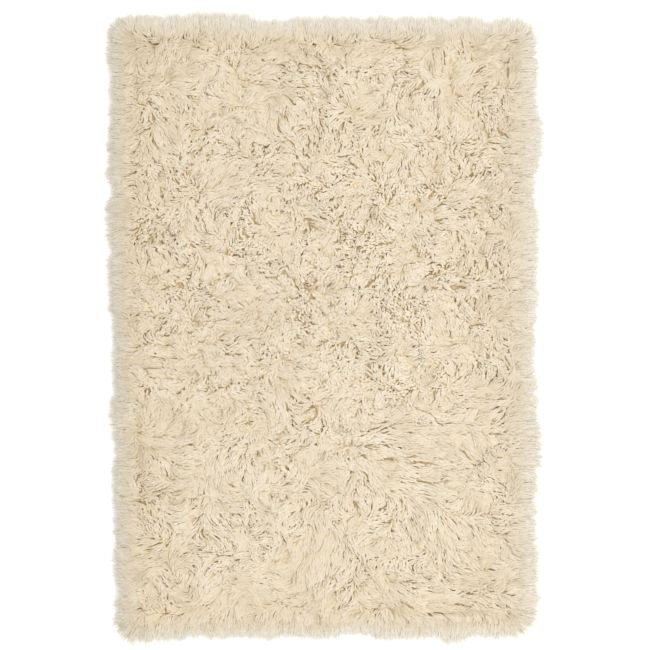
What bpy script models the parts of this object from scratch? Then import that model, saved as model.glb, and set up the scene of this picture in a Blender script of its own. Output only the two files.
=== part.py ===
"""A hand-woven wool shag rug lying flat on the floor.

The rug is one piece: a woven ground hidden under long pile. Here it is one closed solid, a slab of
pile with a lumpy top, whose rim breaks into separate locks that fall outwards and rest on the floor.
Metres, +Z up. The length runs along Y, the floor is z = 0, and the origin is the middle of the
rug's box, on the floor.
"""

import math
import random

import bmesh
import bpy
from mathutils import Matrix, Vector
from mathutils.geometry import delaunay_2d_cdt

RUG_NAME = "shag_rug"

# Corners of the woven ground, a 1.22 m by 1.83 m cut that came off the loom a little out of square
FAR_LEFT = Vector((-0.623, 0.921))
NEAR_LEFT = Vector((-0.596, -0.918))
NEAR_RIGHT = Vector((0.607, -0.910))
FAR_RIGHT = Vector((0.612, 0.907))
CORNER_RADIUS = 0.018
CORNER_STEPS = 6
CORNER_SPLAY = 0.050  # locks nearer than this to a corner turn towards it and take on its stretch
CORNER_STRETCH = {"far left": 1.0, "near left": 1.35, "near right": 0.92, "far right": 1.20}

# Pile
CLUMP_PITCH = 0.096  # from the middle of one clump of pile to the next
CLUMP_WANDER = 0.021  # how far a clump's middle strays from an even lattice
CROWN_LOW = 0.041  # height of the lowest clump's crown above the floor
CROWN_HIGH = 0.056
CREASE_DROP = 0.013  # how far the pile sinks from a crown to the parting between two clumps
LATTICE_REACH = 15  # rows and columns of clumps to each side of the middle one
POINTS_PER_PITCH = 3  # mesh points from one crown to the next
EDGE_MARGIN = 0.020  # the rim's own points stand this far from the nearest point of the top
EDGE_SLOPE = 0.075  # the pile reaches its full height this far in from the rim
LIP_SHARE = 0.58  # of the pile's full height, at the ground's edge, where the rim locks set out

# Rim locks
LOCK_PITCH = 0.0220
LOCK_SHARE = 0.86  # of its pitch that a lock fills at its root
WAIST_AT = 0.58  # of a lock's reach, where it has sunk to its waist
WAIST_WIDTH = 0.88  # of its width at the root
WAIST_HEIGHT = 0.64  # of its height at the root
END_WIDTH = 0.50  # of its width at the root
SCALLOP = 0.18  # how much shorter the outer locks of a tuft are than its middle ones
GATHER = 0.12  # how far a tuft's lock tips are drawn to its middle
UNEVEN = 0.06  # of the reach, from one lock to the next
SWAY = 0.0035  # how far a lock's tip strays to either side

# Tufts along each side, anticlockwise from the far left corner: (width along the rim, reach), in mm
TUFTS = {
    "left": (
        (162, 56), (174, 49), (75, 56), (124, 59), (174, 64), (162, 61), (75, 59),
        (236, 50), (149, 62), (224, 56), (100, 53), (124, 59), (124, 53),
    ),
    "near": (
        (230, 58), (149, 50), (187, 53), (143, 53), (124, 43), (93, 61), (100, 58),
        (112, 69), (162, 54),
    ),
    "right": (
        (112, 59), (174, 60), (124, 54), (87, 56), (162, 68), (149, 57), (174, 46),
        (162, 57), (100, 58), (112, 59), (112, 50), (212, 69), (218, 53),
    ),
    "far": (
        (131, 52), (118, 59), (87, 57), (93, 57), (81, 58), (280, 53), (100, 40),
        (37, 54), (212, 61), (56, 54), (118, 48),
    ),
}
MM = 0.001

WHOLE_HULL = 0  # the triangulation's output type
SAME_POINT = 1e-6

WOOL_COLOUR = (0.83, 0.72, 0.56, 1.0)
WOOL_ROUGHNESS = 0.95
SEED = 7


def smooth_step(share):
    """0 to 1 with no corner at either end."""
    share = min(max(share, 0.0), 1.0)
    return share * share * (3 - 2 * share)


class Rim:
    """The ground's outline, anticlockwise, as a line that can be read at any distance along it."""

    def __init__(self):
        corners = [FAR_LEFT, NEAR_LEFT, NEAR_RIGHT, FAR_RIGHT]
        self.points = []
        self.corner_middles = []
        for i, corner in enumerate(corners):
            before = (corners[i - 1] - corner).normalized()
            after = (corners[(i + 1) % 4] - corner).normalized()
            half_angle = before.angle(after) / 2
            to_centre = CORNER_RADIUS / math.sin(half_angle)
            centre = corner + (before + after).normalized() * to_centre
            start = corner + before * CORNER_RADIUS / math.tan(half_angle)
            sweep = math.pi - 2 * half_angle
            for step in range(CORNER_STEPS + 1):
                turn = sweep * step / CORNER_STEPS
                arm = start - centre
                arm.rotate(Matrix.Rotation(turn, 2))
                if step == CORNER_STEPS // 2:
                    self.corner_middles.append(len(self.points))
                self.points.append(centre + arm)
        self.at = [0.0]
        for i, point in enumerate(self.points):
            following = self.points[(i + 1) % len(self.points)]
            self.at.append(self.at[-1] + (following - point).length)
        self.length = self.at[-1]

    def side_ends(self, side):
        """Distances along the rim at which a side starts and ends, from corner middle to corner middle."""
        start = self.at[self.corner_middles[side]]
        end = self.at[self.corner_middles[(side + 1) % 4]]
        return start, end if end > start else end + self.length

    def read(self, distance):
        """The point at a distance along the rim."""
        distance %= self.length
        for i, point in enumerate(self.points):
            if distance <= self.at[i + 1]:
                following = self.points[(i + 1) % len(self.points)]
                share = (distance - self.at[i]) / (self.at[i + 1] - self.at[i])
                return point.lerp(following, share)
        return self.points[0].copy()

    def outward(self, distance):
        """The direction square to the rim, away from the rug, eased round the corners."""
        along = self.read(distance + CORNER_SPLAY) - self.read(distance - CORNER_SPLAY)
        return Vector((along.y, -along.x)).normalized()

    def stretch(self, distance):
        """What a lock's reach is multiplied by at a distance along the rim: 1, but for near a corner."""
        times = 1.0
        for corner, most in zip(self.corner_middles, CORNER_STRETCH.values()):
            off = abs(distance - self.at[corner]) % self.length
            off = min(off, self.length - off)
            times += (most - 1) * smooth_step(1 - off / CORNER_SPLAY)
        return times

    def depth_inside(self, point):
        """How far inside the rim a point lies, or a negative number if it is outside."""
        nearest = math.inf
        for i, start in enumerate(self.points):
            along = self.points[(i + 1) % len(self.points)] - start
            offset = point - start
            if along.cross(offset) < 0:
                return -1.0
            share = min(max(offset.dot(along) / along.length_squared, 0.0), 1.0)
            nearest = min(nearest, (offset - along * share).length)
        return nearest


class Clumps:
    """The clumps of pile: a wandering triangular lattice of domed crowns with creases between them."""

    def __init__(self, chance):
        self.row_pitch = CLUMP_PITCH * math.sqrt(3) / 2
        self.crowns = {}
        for row in range(-LATTICE_REACH, LATTICE_REACH + 1):
            for column in range(-LATTICE_REACH, LATTICE_REACH + 1):
                angle = chance.uniform(0, 2 * math.pi)
                stray = CLUMP_WANDER * math.sqrt(chance.random())
                even = Vector(((column + (row % 2) / 2) * CLUMP_PITCH, row * self.row_pitch))
                centre = even + Vector((math.cos(angle), math.sin(angle))) * stray
                self.crowns[column, row] = (centre, chance.uniform(CROWN_LOW, CROWN_HIGH))

    def height(self, point):
        """Height of the pile's top: the highest dome over the point."""
        steepness = CREASE_DROP / (CLUMP_PITCH / 2) ** 2
        row = round(point.y / self.row_pitch)
        column = round(point.x / CLUMP_PITCH)
        highest = 0.0
        for r in range(row - 2, row + 3):
            for c in range(column - 2, column + 3):
                if (c, r) in self.crowns:
                    centre, crown = self.crowns[c, r]
                    highest = max(highest, crown - steepness * (point - centre).length_squared)
        return highest

    def triangles(self):
        """Each triangle of neighbouring crowns, as their three places in the lattice."""
        for column, row in self.crowns:
            shifted = column + row % 2
            beside = (column + 1, row)
            up_right = (shifted, row + 1)
            up_left = (shifted - 1, row + 1)
            for trio in (((column, row), beside, up_right), ((column, row), up_right, up_left)):
                if all(place in self.crowns for place in trio):
                    yield trio

    def mesh_points(self):
        """Points spread evenly over each triangle of crowns, so that crowns and creases have their own."""
        found = {}
        for trio in self.triangles():
            for i in range(POINTS_PER_PITCH + 1):
                for j in range(POINTS_PER_PITCH + 1 - i):
                    weights = (i, j, POINTS_PER_PITCH - i - j)
                    parts = [(place, weight) for place, weight in zip(trio, weights) if weight]
                    total = sum((self.crowns[place][0] * weight for place, weight in parts), Vector((0, 0)))
                    found[frozenset(parts)] = total / POINTS_PER_PITCH
        return list(found.values())


def lay_out_locks(rim, chance):
    """Every rim lock, anticlockwise, as (root start, root end, tip)."""
    locks = []
    for side, tufts in enumerate(TUFTS.values()):
        start, end = rim.side_ends(side)
        scale = (end - start) / sum(width for width, _ in tufts)
        for width, reach in tufts:
            width *= scale
            count = max(2, round(width / LOCK_PITCH))
            pitch = width / count
            for i in range(count):
                middle = start + i * pitch  # so that each side's first lock sits right on its corner
                off_middle = 2 * (i + 0.5) / count - 1  # -1 to 1 across the tuft
                length = reach * MM * (1 - SCALLOP * abs(off_middle) ** 3)
                length *= rim.stretch(middle) * (1 + chance.uniform(-UNEVEN, UNEVEN))
                outward = rim.outward(middle)
                along = Vector((-outward.y, outward.x))
                sideways = -off_middle * GATHER * reach * MM + chance.uniform(-SWAY, SWAY)
                root_start = rim.read(middle - LOCK_SHARE * pitch / 2)
                root_end = rim.read(middle + LOCK_SHARE * pitch / 2)
                root = (root_start + root_end) / 2
                tip = root + outward * length + along * sideways
                locks.append((root_start, root_end, tip))
            start += width
    return locks


def triangulate(points, ring_size):
    """Triangles over the points, inside the ring that the first ones make, as point numbers."""
    ring = list(range(ring_size))
    made = delaunay_2d_cdt(points, [], [ring], WHOLE_HULL, SAME_POINT, True)
    source = [origins[0] for origins in made[3]]
    kept = []
    for face in made[2]:
        a, b, c = (source[i] for i in face)
        # A sliver outside a straight side joins three ring points and runs against the ring's order
        against = max(a, b, c) < ring_size and (a > b) + (b > c) + (c > a) == 2
        if not against:
            kept.append((a, b, c))
    return kept


def add_lock(shape, root, lock):
    """One lock as a tapering four-sided strand from its root, down to a blunt end that lies on the floor."""
    root_start, root_end, tip = lock
    width = root_end - root_start
    waist_middle = ((root_start + root_end) / 2).lerp(tip, WAIST_AT)
    waist_start = waist_middle - width * WAIST_WIDTH / 2
    waist_end = waist_middle + width * WAIST_WIDTH / 2
    high_end, high_start = root[2:]
    waist = [
        shape.verts.new((*waist_start, 0.0)),
        shape.verts.new((*waist_end, 0.0)),
        shape.verts.new((*waist_end, high_end.co.z * WAIST_HEIGHT)),
        shape.verts.new((*waist_start, high_start.co.z * WAIST_HEIGHT)),
    ]
    end_start = shape.verts.new((*(tip - width * END_WIDTH / 2), 0.0))
    end_end = shape.verts.new((*(tip + width * END_WIDTH / 2), 0.0))
    for i in range(4):
        j = (i + 1) % 4
        shape.faces.new((root[i], root[j], waist[j], waist[i]))
    shape.faces.new((waist[0], waist[1], end_end, end_start))
    shape.faces.new((waist[1], waist[2], end_end))
    shape.faces.new((waist[2], waist[3], end_start, end_end))
    shape.faces.new((waist[3], waist[0], end_start))


def build_rug():
    """The whole rug as one closed mesh: floor side, rim with its locks, and lumpy top."""
    chance = random.Random(SEED)
    rim = Rim()
    clumps = Clumps(chance)
    locks = lay_out_locks(rim, chance)
    ring = [place for lock in locks for place in lock[:2]]
    inner = [p for p in clumps.mesh_points() if rim.depth_inside(p) > EDGE_MARGIN]

    shape = bmesh.new()
    low = [shape.verts.new((*place, 0.0)) for place in ring]
    high = []
    for place in ring:
        high.append(shape.verts.new((*place, clumps.height(place) * LIP_SHARE)))
    tops = list(high)
    for place in inner:
        risen = smooth_step(rim.depth_inside(place) / EDGE_SLOPE)
        share = LIP_SHARE + (1 - LIP_SHARE) * risen
        tops.append(shape.verts.new((*place, clumps.height(place) * share)))

    for face in triangulate(ring + inner, len(ring)):
        shape.faces.new([tops[i] for i in face])
    for face in triangulate(ring, len(ring)):
        shape.faces.new([low[i] for i in reversed(face)])
    for i, lock in enumerate(locks):
        a, b, following = 2 * i, 2 * i + 1, (2 * i + 2) % len(ring)
        add_lock(shape, (low[a], low[b], high[b], high[a]), lock)
        shape.faces.new((low[b], low[following], high[following], high[b]))

    bmesh.ops.recalc_face_normals(shape, faces=shape.faces)
    centre_on_origin(shape)
    mesh = bpy.data.meshes.new(RUG_NAME)
    shape.to_mesh(mesh)
    shape.free()
    return mesh


def centre_on_origin(shape):
    """Moves the mesh so that the middle of its box is over the origin."""
    xs = [v.co.x for v in shape.verts]
    ys = [v.co.y for v in shape.verts]
    middle = Vector(((min(xs) + max(xs)) / 2, (min(ys) + max(ys)) / 2, 0.0))
    bmesh.ops.translate(shape, verts=shape.verts, vec=-middle)


def wool_material():
    """Undyed cream wool."""
    material = bpy.data.materials.new("natural_wool")
    material.use_nodes = True
    shader = material.node_tree.nodes["Principled BSDF"]
    shader.inputs["Base Color"].default_value = WOOL_COLOUR
    shader.inputs["Roughness"].default_value = WOOL_ROUGHNESS
    shader.inputs["Metallic"].default_value = 0.0
    return material


def main():
    """Clears the scene and builds the rug."""
    for thing in list(bpy.data.objects):
        bpy.data.objects.remove(thing)
    mesh = build_rug()
    mesh.materials.append(wool_material())
    mesh.shade_smooth()
    rug = bpy.data.objects.new(RUG_NAME, mesh)
    bpy.context.scene.collection.objects.link(rug)


if __name__ == "__main__":
    main()
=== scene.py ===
"""The looks of a cream wool shag rug: its woven ground, its pile, lock by lock, and a plain studio.

Laid out as a Blender add-on and run as a script. Everything is in metres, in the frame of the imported
part: the rug lies on z = 0, its length runs along Y, and the photo's top edge is towards +Y.
"""

import math

import bpy
import numpy as np
from bpy.props import FloatProperty, FloatVectorProperty, IntProperty, PointerProperty
from bpy.types import Operator, Panel, PropertyGroup
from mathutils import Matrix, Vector
from mathutils.bvhtree import BVHTree
from mathutils.kdtree import KDTree


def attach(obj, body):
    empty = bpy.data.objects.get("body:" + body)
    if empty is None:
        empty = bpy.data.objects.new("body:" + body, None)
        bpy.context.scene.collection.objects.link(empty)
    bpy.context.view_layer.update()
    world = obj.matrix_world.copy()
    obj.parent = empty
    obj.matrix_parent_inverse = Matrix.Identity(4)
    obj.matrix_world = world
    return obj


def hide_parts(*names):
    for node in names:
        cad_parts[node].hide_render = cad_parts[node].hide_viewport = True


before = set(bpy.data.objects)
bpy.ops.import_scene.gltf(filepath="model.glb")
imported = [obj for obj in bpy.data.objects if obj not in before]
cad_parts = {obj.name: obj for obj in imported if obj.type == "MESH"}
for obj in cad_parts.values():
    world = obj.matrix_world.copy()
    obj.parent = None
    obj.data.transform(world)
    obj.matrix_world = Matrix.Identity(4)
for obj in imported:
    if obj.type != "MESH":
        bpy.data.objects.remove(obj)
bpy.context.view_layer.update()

bl_info = {
    "name": "Shag Rug",
    "version": (1, 0, 0),
    "blender": (4, 5, 0),
    "location": "View3D > Sidebar > Shag Rug",
    "description": "Builds the ground, the pile and the studio of a wool shag rug",
    "category": "Object",
}

RUG_NODE = "shag_rug"
BODY = "root"

# The woven ground's corners, anticlockwise from the far left, as in the part's source
GROUND_CORNERS = np.array([(-0.623, 0.921), (-0.596, -0.918), (0.607, -0.910), (0.612, 0.907)])
GROUND_MIDDLE = GROUND_CORNERS.mean(axis=0)
CORNER_RADIUS = 0.018

# The photo's scale and the place of the rug's middle in it
PHOTO_SIDE_PX = 650
METRES_PER_PX = 0.003096
RUG_MIDDLE_PX = (323.8, 327.6)

# A lock's rings of points: their shares of its length, the last being its tip, and their widths on a
# blunt lock and on a fine one
RINGS = np.array([0.0, 0.40, 0.78, 1.0])
BLUNT = np.array([0.75, 1.0, 0.90, 0.0])
FINE = np.array([0.80, 1.0, 0.52, 0.0])
SURFACE_SHARE = 0.52  # where along a field lock it comes to lie on the surface
SIDES = 3
SQUARE_HOLD = 0.35  # how firmly a lock's width stays square to its heading, so that it doesn't twist
RIDGE_AT_TIP = 0.7  # how much of a ridge the tip counts as where edges are shaded
# A lock's pale share is painted floor bounce
PALE_FROM = 0.5  # the share of a lock from which it is fully pale
LOCKS_PER_PIECE = 12000
RIM_PIECES = 2

# The locks' maps: how far apart their fibres lie in the noise, and the shape and margin of their cells
FIBRE_OFFSET = 40
CELL_TALLNESS = 4.6
CELL_MARGIN = 0.06

# The solid's top is read on a grid with this pitch (m), by rays from this height
HEIGHT_STEP = 0.006
RAY_HEIGHT = 1.0
REACH_SLOPE = 0.5  # how fast the rim draws in between the tips of the solid's locks

# A lock's wave: how it grows along the lock, and its share and turn up and down
CRIMP_POWER = 0.7
CRIMP_LIFT = 0.3
CRIMP_LIFT_TURN = 1.3

# The undercoat: its steps and corners, heights of its underside, its rim and its lowest inner part, how
# far inside the ground's edge its fall begins, and its lumps (m)
UNDERCOAT_STEPS = (72, 108)
UNDERCOAT_CORNER = 2.5 * CORNER_RADIUS
UNDERCOAT_LOW = 0.002
UNDERCOAT_LEAST = 0.003
UNDERCOAT_INNER = 0.014
UNDERCOAT_FALL = 0.015
LUMPS = (0.020, 31)
LUMP_HEIGHT = 0.002

# The woven ground's steps, and how high its underside lies (m)
GROUND_STEPS = (40, 60)
GROUND_LOW = 0.0003

WHITE = (1.0, 1.0, 1.0)
BLACK = (0.0, 0.0, 0.0)

# The studio light is a touch cooler than the wool, so that the gaps between locks stay warm
DAYLIGHT = (0.985, 1.0, 1.035)
WORLD_STRENGTH = 0.904
LAMP_PLACE = (3.4, 3.8, 4.5)
LAMP_SIZE = 3.0
# Name, far side or near one, and power (W)
LAMPS = (("far_box", 1, 75.0), ("near_box", -1, 87.0))
FLOOR_HALF = 12.0
FLOOR_COLOUR = (0.96, 0.95, 0.92, 1.0)
FLOOR_GLOW = 0.18
LENS_MM = 100.0
SENSOR_MM = 36.0
CAMERA_FAR = 50.0
LIGHT_BOUNCES = 8


def smooth_step(share):
    """0 to 1 with no corner at either end."""
    share = np.clip(share, 0.0, 1.0)
    return share * share * (3 - 2 * share)


def fade(distance, radius):
    """1 at distance 0, falling smoothly to nothing about two radii away."""
    return np.exp(-((distance / radius) ** 2))


def varied(share, start, change):
    """A value that goes from its start by a change as a share goes from 0 to 1."""
    return start + change * share


def smooth_noise(places, pitch, seed):
    """A value from -1 to 1 at each place that changes smoothly, with bumps about a pitch apart."""
    size = 64
    lattice = np.random.default_rng(seed).uniform(-1, 1, (size, size))
    scaled = places / pitch
    cell = np.floor(scaled).astype(int)
    part = smooth_step(scaled - cell)
    x0, y0 = cell[:, 0] % size, cell[:, 1] % size
    x1, y1 = (x0 + 1) % size, (y0 + 1) % size
    low = lattice[x0, y0] * (1 - part[:, 0]) + lattice[x1, y0] * part[:, 0]
    high = lattice[x0, y1] * (1 - part[:, 0]) + lattice[x1, y1] * part[:, 0]
    return low * (1 - part[:, 1]) + high * part[:, 1]


def scattered(pitch, wander, rng):
    """Places on a triangular lattice over the whole rug, each strayed by up to a share of the pitch."""
    half = np.abs(GROUND_CORNERS).max(axis=0) + 2 * pitch
    row_pitch = pitch * math.sqrt(3) / 2
    rows = np.arange(-int(half[1] / row_pitch), int(half[1] / row_pitch) + 1)
    columns = np.arange(-int(half[0] / pitch), int(half[0] / pitch) + 1)
    column, row = np.meshgrid(columns, rows)
    even = np.stack([(column + (row % 2) / 2) * pitch, row * row_pitch], axis=-1).reshape(-1, 2)
    return even + rng.uniform(-1, 1, even.shape) * pitch * wander


def unit(way):
    """The same directions at length 1."""
    return way / np.linalg.norm(way, axis=-1, keepdims=True)


def turned(way, angle):
    """Flat directions turned anticlockwise by an angle in radians."""
    c, s = np.cos(angle), np.sin(angle)
    return np.stack([way[:, 0] * c - way[:, 1] * s, way[:, 0] * s + way[:, 1] * c], axis=1)


def leftward(way):
    """Flat directions a quarter turn to the left."""
    return np.stack([-way[..., 1], way[..., 0]], axis=-1)


def edge_lines():
    """For each side of the ground: a corner, the outward normal and the direction along it."""
    along = unit(np.roll(GROUND_CORNERS, -1, axis=0) - GROUND_CORNERS)
    return GROUND_CORNERS, -leftward(along), along


def edge_depths(places):
    """How far each place lies inside each of the ground's four sides."""
    corners, normal, _ = edge_lines()
    return np.stack([-((places - c) @ n) for c, n in zip(corners, normal)], axis=1)


def edge_lengths():
    """The lengths of the ground's four sides."""
    return np.linalg.norm(np.roll(GROUND_CORNERS, -1, axis=0) - GROUND_CORNERS, axis=1)


def place_tree(places):
    """A search tree of flat places."""
    tree = KDTree(len(places))
    for i, place in enumerate(places):
        tree.insert((*place, 0), i)
    tree.balance()
    return tree


def outward_at(places, softness):
    """The direction away from the rug at each place, eased round the corners."""
    _, normal, _ = edge_lines()
    depths = edge_depths(places)
    pull = np.exp(-(depths - depths.min(axis=1, keepdims=True)) / softness)
    return unit(pull @ normal)


class PackedRug:
    """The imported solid, read for the height of its top and how far its rim locks reach."""

    def __init__(self):
        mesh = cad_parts[RUG_NODE].data
        self.points = np.array([v.co for v in mesh.vertices])
        faces = [tuple(p.vertices) for p in mesh.polygons]
        tree = BVHTree.FromPolygons([tuple(p) for p in self.points], faces)
        self.low = self.points.min(axis=0)[:2] - 2 * HEIGHT_STEP
        high = self.points.max(axis=0)[:2] + 2 * HEIGHT_STEP
        columns, rows = np.ceil((high - self.low) / HEIGHT_STEP).astype(int) + 1
        self.grid = np.zeros((columns, rows))
        down = Vector((0, 0, -1))
        for i in range(columns):
            x = self.low[0] + i * HEIGHT_STEP
            for j in range(rows):
                hit = tree.ray_cast(Vector((x, self.low[1] + j * HEIGHT_STEP, RAY_HEIGHT)), down)[0]
                self.grid[i, j] = hit.z if hit else 0.0
        for axis in (0, 1):  # closes the slits between neighbouring rim locks
            beside = [np.roll(self.grid, shift, axis=axis) for shift in (-1, 0, 1)]
            self.grid = np.maximum.reduce(beside)

    def heights(self, places):
        """Height of the solid's top over each place, and 0 beside it."""
        scaled = (places - self.low) / HEIGHT_STEP
        limit = np.array(self.grid.shape) - 2
        cell = np.clip(np.floor(scaled).astype(int), 0, limit)
        part = np.clip(scaled - cell, 0, 1)
        i, j = cell[..., 0], cell[..., 1]
        u, v = part[..., 0], part[..., 1]
        near = self.grid[i, j] * (1 - u) + self.grid[i + 1, j] * u
        far = self.grid[i, j + 1] * (1 - u) + self.grid[i + 1, j + 1] * u
        return near * (1 - v) + far * v

    def reaches(self, places, ways):
        """How far the solid reaches beyond each place on the rim, in its outward direction."""
        flat = self.points[:, :2]
        found = []
        for place, way in zip(places, ways):
            offset = flat - place
            aside = np.abs(offset @ leftward(way))
            found.append((offset @ way - aside * REACH_SLOPE).max())
        return np.array(found)


def lock_faces(count):
    """The faces of a number of locks: loop corners, (side step, ring) of each corner, and face sizes."""
    tube_rings = len(RINGS) - 1
    per_lock = tube_rings * SIDES + 1
    corners, steps, sizes = [], [], []
    for j in range(tube_rings - 1):
        for k in range(SIDES):
            n = (k + 1) % SIDES
            corners += [j * SIDES + k, j * SIDES + n, (j + 1) * SIDES + n, (j + 1) * SIDES + k]
            steps += [(k, j), (k + 1, j), (k + 1, j + 1), (k, j + 1)]
            sizes.append(4)
    last = tube_rings - 1
    for k in range(SIDES):
        corners += [last * SIDES + k, last * SIDES + (k + 1) % SIDES, tube_rings * SIDES]
        steps += [(k, last), (k + 1, last), (k + 0.5, tube_rings)]
        sizes.append(3)
    corners += [2, 1, 0]
    steps += [(2, 0), (1, 0), (0, 0)]
    sizes.append(3)
    corners = np.array(corners)[None, :] + np.arange(count)[:, None] * per_lock
    return corners.ravel(), np.tile(np.array(steps, float), (count, 1)), np.tile(sizes, count)


def mark_lower_edges(mesh, per_lock):
    """Marks the two lower edges of each lock sharp, so that only its ridge is shaded round."""
    ends = np.zeros(len(mesh.edges) * 2, np.int32)
    mesh.edges.foreach_get("vertices", ends)
    place = ends.reshape(-1, 2) % per_lock
    low, high = place.min(axis=1), place.max(axis=1)
    to_tip = (high == per_lock - 1) & (low % SIDES < 2)
    lengthwise = (high - low == SIDES) & (low % SIDES < 2) & (high < per_lock - 1)
    sharp = mesh.attributes.new("sharp_edge", "BOOLEAN", "EDGE")
    sharp.data.foreach_set("value", to_tip | lengthwise)


def lock_mesh(name, locks):
    """One closed mesh of tapering three-sided locks, ridge up, with its maps and attributes."""
    line, width, thickness = locks["line"], locks["width"], locks["thickness"]
    count = len(line)
    tangent = unit(np.gradient(line, axis=1))
    side = np.stack([-tangent[..., 1], tangent[..., 0], np.zeros_like(tangent[..., 0])], axis=-1)
    base = np.column_stack([leftward(locks["way"]), np.zeros(count)])
    side = unit(side + base[:, None, :] * SQUARE_HOLD)
    up = unit(np.cross(tangent, side))

    w = (width[:, None] * locks["taper"])[..., None]
    h = (thickness[:, None] * locks["taper"])[..., None]
    left = line - side * w / 2 - up * h / 3
    right = line + side * w / 2 - up * h / 3
    ridge = line + up * h * 2 / 3
    tube = np.stack([left, right, ridge], axis=2)[:, :-1].reshape(count, -1, 3)
    points = np.concatenate([tube, line[:, -1:]], axis=1)
    per_lock = points.shape[1]
    corners, steps, sizes = lock_faces(count)

    mesh = bpy.data.meshes.new(name)
    mesh.vertices.add(count * per_lock)
    mesh.vertices.foreach_set("co", points.astype(np.float32).ravel())
    mesh.loops.add(len(corners))
    mesh.loops.foreach_set("vertex_index", corners.astype(np.int32))
    mesh.polygons.add(len(sizes))
    starts = np.concatenate([[0], np.cumsum(sizes)[:-1]])
    mesh.polygons.foreach_set("loop_start", starts.astype(np.int32))
    mesh.update(calc_edges=True)
    mesh.shade_smooth()
    mark_lower_edges(mesh, per_lock)

    lock_of = np.repeat(np.arange(count), len(corners) // count)
    along = RINGS[steps[:, 1].astype(int)]
    around = steps[:, 0] / SIDES
    strand = around + locks["seed"][lock_of] * FIBRE_OFFSET
    fibre = np.stack([strand, along * locks["length"][lock_of]], axis=1)
    mesh.uv_layers.new(name="LockUV").data.foreach_set("uv", fibre.astype(np.float32).ravel())
    columns = max(1, round(math.sqrt(count * CELL_TALLNESS)))
    rows = math.ceil(count / columns)
    cell_u = lock_of % columns + CELL_MARGIN + around * (1 - 2 * CELL_MARGIN)
    cell_v = lock_of // columns + CELL_MARGIN + along * (1 - 2 * CELL_MARGIN)
    laid = np.stack([cell_u / columns, cell_v / rows], axis=1)
    mesh.uv_layers.new(name="OFBake").data.foreach_set("uv", laid.astype(np.float32).ravel())

    ring_of = np.concatenate([np.repeat(RINGS[:-1], SIDES), RINGS[-1:]])
    ridge_of = np.concatenate([np.tile([0.0, 0.0, 1.0], len(RINGS) - 1), [RIDGE_AT_TIP]])
    # The points carry where paint goes: tint with its painted light and shade, depth for the root's painted
    # shade, pale for the painted floor bounce, and ridge for the painted shade of the lower edges
    for label, values in (
        ("along", np.tile(ring_of, count)),
        ("ridge", np.tile(ridge_of, count)),
        ("tint_and_shading", np.repeat(locks["tint_and_shading"], per_lock)),
        ("depth", np.repeat(locks["depth"], per_lock)),
        ("pale", (locks["pale"][:, None] * smooth_step(ring_of / PALE_FROM)[None, :]).ravel()),
        ("thin", (locks["thin"][:, None] * ring_of[None, :]).ravel()),
    ):
        mesh.attributes.new(label, "FLOAT", "POINT").data.foreach_set("value", values.astype(np.float32))
    return mesh


def crimped(line, way, amplitude, waves, phase):
    """Lines with the wool's wave added, growing from the root, sideways and a little up and down."""
    shares = RINGS[None, :]
    turn = 2 * math.pi * (shares * waves[:, None] + phase[:, None])
    grow = amplitude[:, None] * shares**CRIMP_POWER
    waved = line.copy()
    waved[..., :2] += leftward(way)[:, None, :] * (np.sin(turn) * grow)[..., None]
    waved[..., 2] += CRIMP_LIFT * np.cos(turn * CRIMP_LIFT_TURN) * grow
    return waved


# Stretches where the pile is combed one way: place in the photo (px), direction (degrees, 0 right,
# 90 up), radius (px), pull
COMBED = (
    (390, 444, 8, 26, 6.0), (432, 446, -8, 30, 6.0), (420, 470, 4, 26, 4.0), (466, 452, -62, 16, 3.0),
    (432, 602, 8, 26, 3.0), (190, 519, 207, 16, 3.0), (214, 480, 245, 14, 3.0), (229, 454, 225, 14, 3.0),
    (150, 551, 210, 18, 3.0), (316, 525, -68, 20, 2.5), (335, 570, -85, 40, 1.2), (250, 560, -110, 50, 1.0),
    (165, 362, 190, 26, 2.5), (230, 338, -20, 26, 2.0), (278, 400, -88, 18, 2.5), (122, 47, 185, 20, 2.5),
    (162, 145, -60, 20, 3.0), (280, 120, -78, 20, 2.5), (130, 138, 195, 18, 2.0), (476, 396, 5, 24, 2.5),
    (300, 380, -60, 40, 0.8), (440, 120, 70, 40, 1.0),
)

# Creases where the pile parts: start and end in the photo, x and y (px)
CREASES = (
    (136, 53, 154, 45), (154, 45, 146, 36), (228, 161, 248, 158), (238, 80, 260, 84),
    (230, 59, 231, 71), (260, 63, 276, 62), (490, 36, 512, 42), (512, 42, 528, 32),
    (375, 43, 406, 42), (388, 68, 397, 73), (507, 65, 506, 81), (450, 109, 461, 116),
    (396, 105, 397, 118), (386, 119, 373, 133), (402, 148, 411, 151), (418, 144, 440, 138),
    (488, 149, 512, 149), (176, 370, 196, 366), (126, 315, 166, 319), (482, 287, 496, 289),
    (501, 273, 502, 284), (440, 288, 468, 287), (380, 265, 394, 266), (356, 320, 366, 323),
    (474, 356, 480, 370), (506, 364, 509, 393), (509, 393, 494, 402), (416, 353, 426, 355),
    (132, 481, 141, 472), (136, 499, 160, 504), (192, 509, 203, 502), (203, 502, 204, 488),
    (138, 555, 164, 540), (368, 431, 388, 426), (388, 426, 416, 433), (458, 447, 472, 457),
    (380, 458, 432, 463), (393, 483, 416, 479), (416, 479, 432, 483), (351, 499, 358, 507),
    (365, 518, 380, 518), (460, 567, 492, 568), (418, 613, 452, 612), (398, 597, 412, 607),
    (356, 618, 378, 607), (134, 249, 137, 241), (149, 250, 152, 265), (163, 247, 174, 258),
    (166, 275, 172, 271), (177, 280, 185, 287), (198, 262, 201, 270), (198, 297, 206, 294),
)

# Where the pile stands tighter and curls more, or less: place in the photo (px), radius (px), how
# much more
TIGHT = (
    (330, 290, 136, 0.42), (164, 300, 34, 0.40), (150, 250, 30, 0.35), (250, 360, 60, 0.22),
    (160, 570, 70, -0.26), (300, 590, 70, -0.22), (450, 545, 70, -0.30), (380, 555, 50, -0.15),
    (160, 80, 50, -0.20), (480, 470, 30, -0.20), (408, 446, 34, -0.25),
)
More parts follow.
